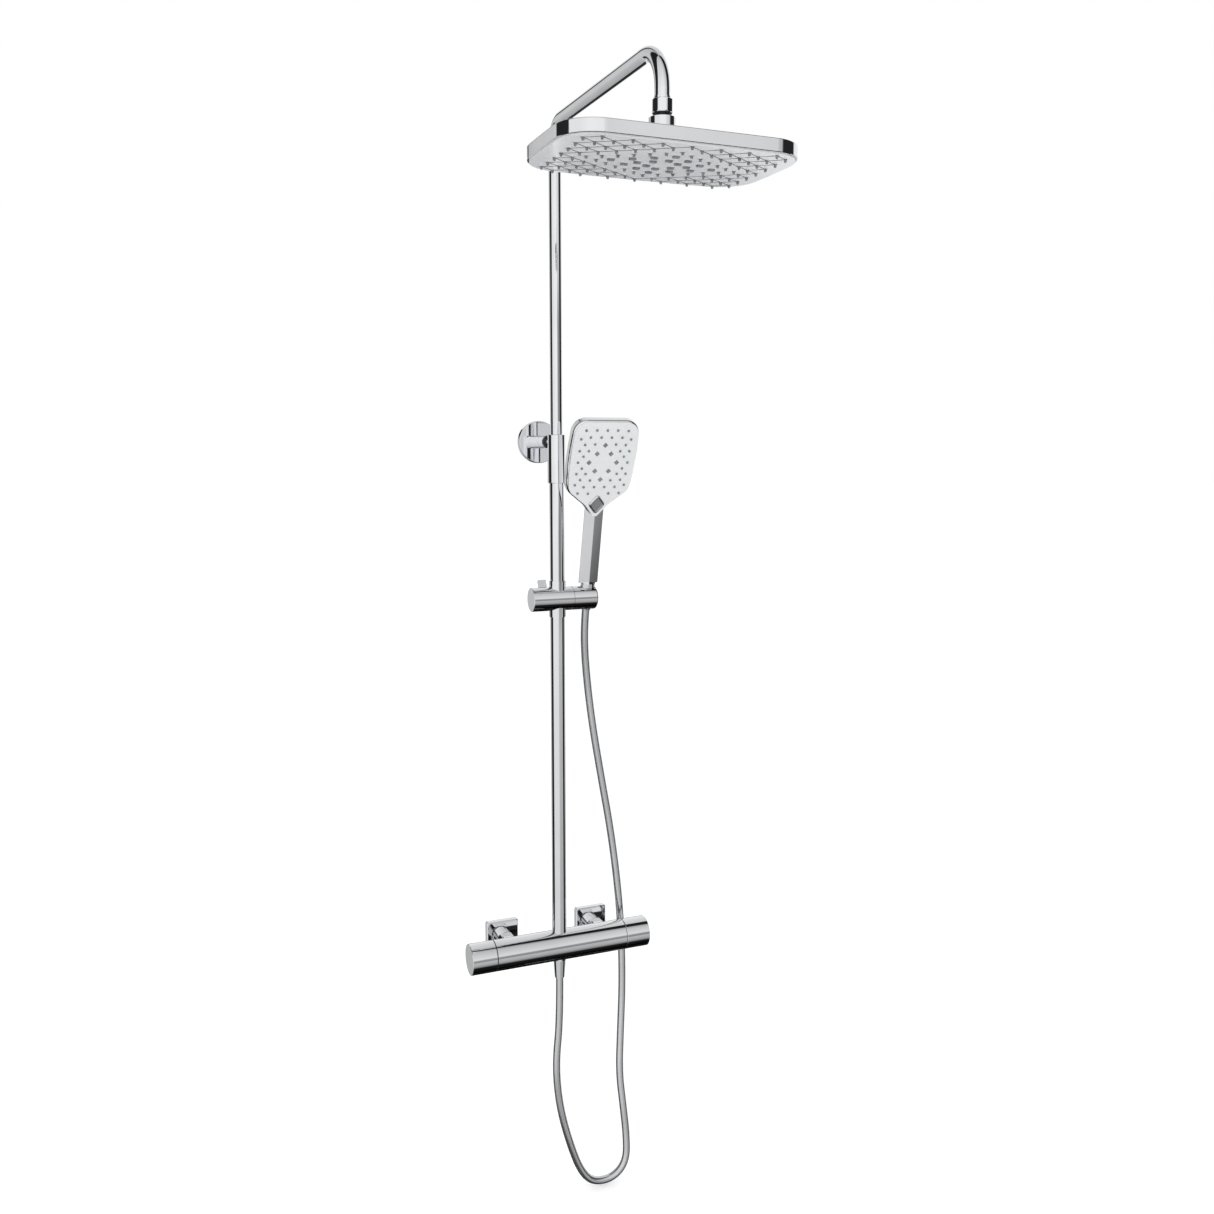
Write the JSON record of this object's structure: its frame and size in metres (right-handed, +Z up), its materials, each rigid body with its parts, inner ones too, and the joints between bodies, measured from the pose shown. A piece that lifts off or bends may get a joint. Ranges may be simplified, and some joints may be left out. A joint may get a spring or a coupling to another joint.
{
  "type": "rainfall shower column",
  "caption": "Thermostatic bar shower column with telescopic riser, swivel arm, rectangular overhead head on a ball joint, hand shower on a sliding holder and a hanging hose.",
  "frame": {"origin": "on the wall plane, midway between the two water inlets, where their threads leave the wall", "axes": "+X along the bar to the right, +Y into the wall, +Z up the riser"},
  "size_m": [0.293, 0.547, 1.6557],
  "materials": {
    "chrome_bar": "polished chrome plate over brass",
    "chrome_tube": "polished chrome plate over drawn tube",
    "chrome_cap": "chrome plated disc, turned face",
    "brass": "machined brass, bare inside",
    "screw_steel": "stainless steel",
    "seal_rubber": "black rubber",
    "nozzle_silicone": "grey silicone",
    "dark_plastic": "dark acetal",
    "white_plastic": "glossy white",
    "pale_plastic": "moulded plastic",
    "chromed_plastic": "chrome plated plastic",
    "ceramic": "polished ceramic",
    "hose_sleeve": "smooth silver sleeve"
  },
  "bodies": {
    "fixture": {"union_left": "chrome_bar", "union_right": "chrome_bar", "cover_plate_left": "chrome_bar", "cover_plate_right": "chrome_bar", "union_nuts": "chrome_bar", "filter_washers": "seal_rubber", "bar_body": "chrome_bar", "check_valves": "dark_plastic", "seam_rings": "dark_plastic", "thermostat_cartridge": "pale_plastic", "thermostat_spring": "screw_steel", "diverter_cartridge": "pale_plastic", "diverter_fixed_disc": "ceramic", "lower_tube": "chrome_tube", "clamp_sleeve": "chrome_tube", "bracket_base": "screw_steel", "bracket_rosette": "chrome_bar", "bracket_socket": "chrome_bar", "bracket_post": "chrome_bar", "bracket_ring": "dark_plastic", "wall_screws": "screw_steel", "hose_nut_bottom": "chrome_bar", "hose": "hose_sleeve"},
    "temperature_control": {"temperature_handle": "chrome_bar", "temperature_end_cap": "chrome_cap", "temperature_handle_screw": "screw_steel", "thermostat_spindle": "brass"},
    "thermostat_element": {"thermostat_shuttle": "dark_plastic"},
    "flow_control": {"flow_handle": "chrome_bar", "flow_end_cap": "chrome_cap", "flow_handle_screw": "screw_steel", "flow_spindle": "brass", "diverter_turning_disc": "ceramic"},
    "column_bush": {"swivel_bush": "dark_plastic"},
    "arm": {"upper_tube": "chrome_tube", "ball_fitting": "chrome_bar", "gaiter_ring": "seal_rubber"},
    "ball_turn": {"ball_seal": "seal_rubber"},
    "ball_rock": {"ball_seat": "dark_plastic"},
    "overhead": {"head_collar": "chrome_bar", "head_top_shell": "chromed_plastic", "head_rim": "chromed_plastic", "head_face_plate": "white_plastic", "head_nozzle_mat": "nozzle_silicone", "head_screws": "screw_steel"},
    "slide_bush": {"slider_bush": "chromed_plastic"},
    "holder": {"slider_body": "chromed_plastic", "slider_end_cap": "chrome_cap", "cradle_axle": "screw_steel", "cradle_washer": "chromed_plastic", "lock_spring": "screw_steel"},
    "lock": {"lock_button": "chromed_plastic"},
    "holder_cradle": {"cradle": "chromed_plastic"},
    "hose_swivel": {"hose_nut_top": "chrome_bar"},
    "hand_shower": {"handset_body": "chromed_plastic", "handset_face": "white_plastic", "handset_nozzle_mat": "nozzle_silicone", "selector_spring": "screw_steel"},
    "selector": {"selector_button": "chromed_plastic"}
  },
  "joints": [
    {"name": "temperature_turn", "type": "hinge", "parent": "fixture", "child": "temperature_control", "pos_m": [-0.145, -0.0655, -0.0026], "axis": [1, 0, 0], "range_deg": [-60, 150]},
    {"name": "shuttle_slide", "type": "slide", "parent": "fixture", "child": "thermostat_element", "axis": [1, 0, 0], "range_m": [-0.0014, 0.0034]},
    {"name": "flow_turn", "type": "hinge", "parent": "fixture", "child": "flow_control", "pos_m": [0.145, -0.0655, -0.0026], "axis": [1, 0, 0], "range_deg": [-90, 90]},
    {"name": "column_swivel", "type": "hinge", "parent": "fixture", "child": "column_bush", "pos_m": [0, -0.0655, 0.76], "axis": [0, 0, 1], "range_deg": [-45, 45]},
    {"name": "column_height", "type": "slide", "parent": "column_bush", "child": "arm", "axis": [0, 0, 1], "range_m": [-0.15, 0.2]},
    {"name": "head_spin", "type": "hinge", "parent": "arm", "child": "ball_turn", "pos_m": [0, -0.4275, 1.1249], "axis": [0, 0, 1], "continuous": true},
    {"name": "head_tilt", "type": "hinge", "parent": "ball_turn", "child": "ball_rock", "pos_m": [0, -0.4275, 1.1249], "axis": [1, 0, 0], "range_deg": [-7.5, 7.5]},
    {"name": "head_roll", "type": "hinge", "parent": "ball_rock", "child": "overhead", "pos_m": [0, -0.4275, 1.1249], "axis": [0, 1, 0], "range_deg": [-7.5, 7.5]},
    {"name": "slider_travel", "type": "slide", "parent": "fixture", "child": "slide_bush", "axis": [0, 0, 1], "range_m": [-0.4, 0.14], "deforming": ["hose"]},
    {"name": "slider_swivel", "type": "hinge", "parent": "slide_bush", "child": "holder", "pos_m": [0, -0.0655, 0.5421], "axis": [0, 0, 1], "range_deg": [-60, 30]},
    {"name": "lock_press", "type": "slide", "parent": "holder", "child": "lock", "axis": [0, -0.5, -0.866], "range_m": [0, 0.003], "stiffness_N_per_m": 1500},
    {"name": "cradle_tilt", "type": "hinge", "parent": "holder", "child": "holder_cradle", "pos_m": [0.04, -0.0655, 0.5421], "axis": [1, 0, 0], "range_deg": [0, 35]},
    {"name": "handset_lift", "type": "slide", "parent": "holder_cradle", "child": "hose_swivel", "axis": [0, -0.225, 0.9744], "range_m": [0, 0.045]},
    {"name": "handset_turn", "type": "hinge", "parent": "hose_swivel", "child": "hand_shower", "pos_m": [0.047, -0.0655, 0.5421], "axis": [0, -0.225, 0.9744], "range_deg": [-15, 30]},
    {"name": "selector_press", "type": "slide", "parent": "hand_shower", "child": "selector", "axis": [0, 0.9239, 0.3827], "range_m": [0, 0.0025], "stiffness_N_per_m": 1500}
  ],
  "couplings": [
    {"joint": "shuttle_slide", "follows": "temperature_turn", "m_per_rad": 0.001273}
  ]
}
